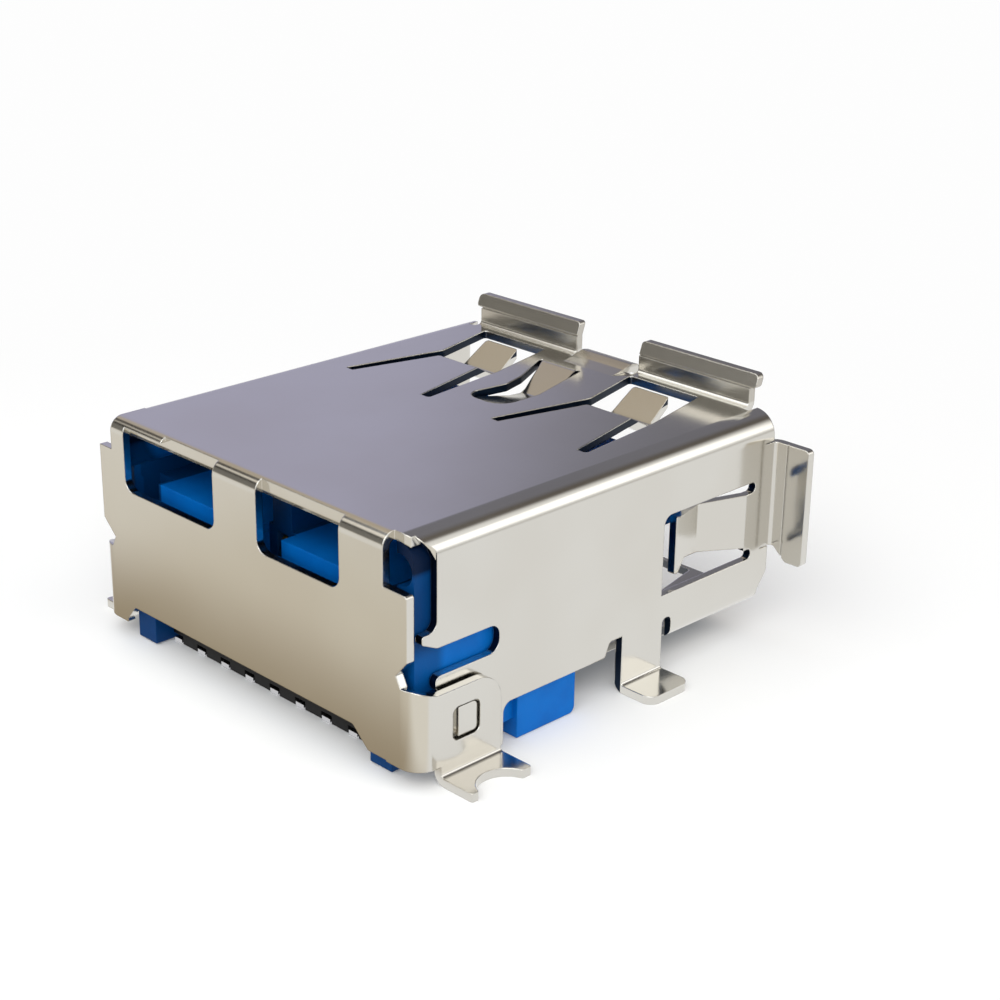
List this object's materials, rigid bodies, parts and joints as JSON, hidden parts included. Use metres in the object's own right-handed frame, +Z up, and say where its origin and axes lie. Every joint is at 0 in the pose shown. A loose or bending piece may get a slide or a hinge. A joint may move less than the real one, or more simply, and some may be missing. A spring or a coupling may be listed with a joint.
{
  "type": "usb-a socket",
  "caption": "Surface-mount USB type-A receptacle: folded metal shell with flared mouth, spring fingers and solder feet round a blue tongue with contacts.",
  "frame": {"origin": "on the board plane, under the middle of the connector's width and length", "axes": "+Z up from the board, -Y out of the mouth, towards the user, +X to the right of one who looks into the mouth"},
  "size_m": [0.0162, 0.0146, 0.0078],
  "materials": {
    "shell_metal": "bright plated sheet, folded",
    "blue_plastic": "moulded, satin",
    "black_plastic": "moulded, matt",
    "contact_metal": "plated copper alloy"
  },
  "bodies": {
    "root": {"shell": "shell_metal", "housing": "blue_plastic", "tail_comb": "black_plastic", "contact_1": "contact_metal", "contact_2": "contact_metal", "contact_3": "contact_metal", "contact_4": "contact_metal", "contact_5": "contact_metal", "contact_6": "contact_metal", "contact_7": "contact_metal", "contact_8": "contact_metal", "contact_9": "contact_metal"}
  },
  "joints": []
}
